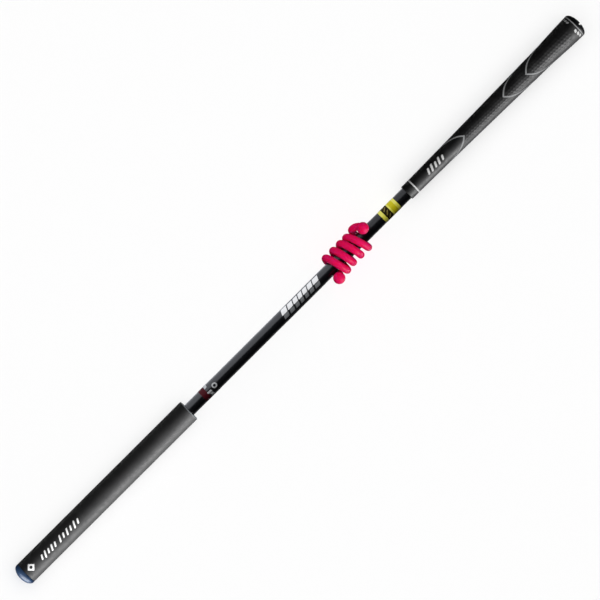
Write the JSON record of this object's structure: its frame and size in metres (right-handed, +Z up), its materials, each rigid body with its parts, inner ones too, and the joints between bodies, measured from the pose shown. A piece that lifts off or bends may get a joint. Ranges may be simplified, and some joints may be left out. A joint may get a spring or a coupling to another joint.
{
  "type": "swing trainer stick",
  "caption": "Straight practice stick with a golf grip, a weighted oversize sleeve at the tip and a bendable pink tie that slides along the shaft.",
  "frame": {"origin": "centre of the vent hole at the outer face of the grip's end cap, on the stick's axis", "axes": "+X along the shaft from the grip to the sleeve's tip, +Z up, on the side with the graphics as the stick lies, +Y to the side where the tie's lower knob stands"},
  "size_m": [0.88, 0.0394, 0.0386],
  "materials": {
    "grip_rubber": "matte, finely dimpled",
    "cap_rubber": "satin",
    "mounting_tape": "paper tape",
    "shaft_lacquer": "gloss black lacquer over a composite tube",
    "yellow_film": "gloss printed film",
    "panel_film": "gloss printed film",
    "lower_film": "gloss printed film",
    "sleeve_rubber": "matte, fine grain",
    "blue_plastic": "gloss",
    "weight_steel": "bare bar",
    "plug_rubber": "matte",
    "tie_rubber": "soft satin",
    "core_steel": "annealed wire"
  },
  "bodies": {
    "stick": {"grip_body": "grip_rubber", "grip_end_cap": "cap_rubber", "grip_tape": "mounting_tape", "shaft_tube": "shaft_lacquer", "yellow_band_label": "yellow_film", "shaft_panel_label": "panel_film", "lower_band_label": "lower_film", "sleeve": "sleeve_rubber", "sleeve_tape": "mounting_tape", "sleeve_end_cap": "blue_plastic", "weight_rod": "weight_steel", "weight_stop_plug": "plug_rubber"},
    "tie": {"tie_jacket": "tie_rubber", "tie_core_wire": "core_steel", "tie_lower_knob": "tie_rubber", "tie_upper_knob": "tie_rubber"}
  },
  "joints": [
    {"name": "tie_slide", "type": "slide", "parent": "stick", "child": "tie", "axis": [1, 0, 0], "range_m": [-0.054, 0.214]}
  ]
}
